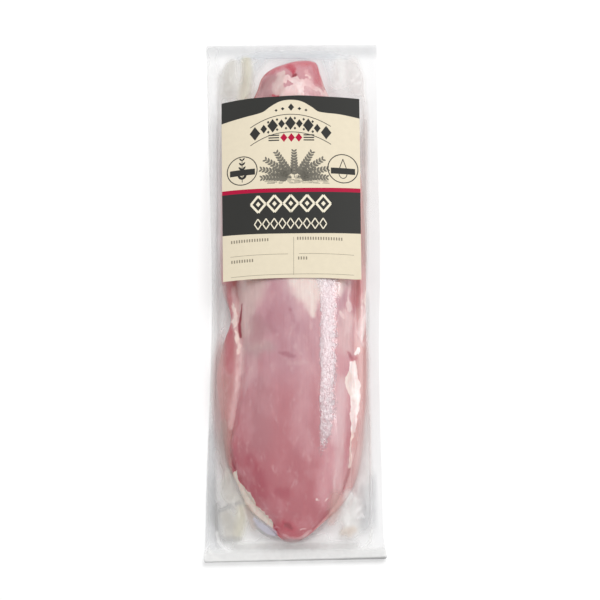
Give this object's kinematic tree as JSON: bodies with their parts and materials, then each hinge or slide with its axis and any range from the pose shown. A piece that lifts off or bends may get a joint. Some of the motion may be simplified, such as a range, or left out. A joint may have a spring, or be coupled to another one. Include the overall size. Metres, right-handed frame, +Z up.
{
  "type": "raw pork tenderloin in a vacuum pack",
  "caption": "Raw pork tenderloin lying in a clear vacuum pack with a flat sealed border, puckered corners and a paper label bent across its upper half.",
  "frame": {"origin": "middle of the pack's flat underside, on the surface that it rests on", "axes": "+X across the pack, +Y along it towards the labelled end, +Z up through the label"},
  "size_m": [0.1154, 0.35, 0.0353],
  "materials": {
    "clear_film": "clear, slightly milky packing film, glossy, with soft folds",
    "raw_pork": "wet raw muscle, mauve pink, with pale membrane and cream fat",
    "label_paper": "cream coated paper, satin",
    "label_ink": "charcoal print on paper, satin",
    "label_red": "crimson print on paper, satin"
  },
  "bodies": {
    "root": {"film_pack": "clear_film", "tenderloin": "raw_pork", "label": "label_paper"}
  },
  "joints": []
}
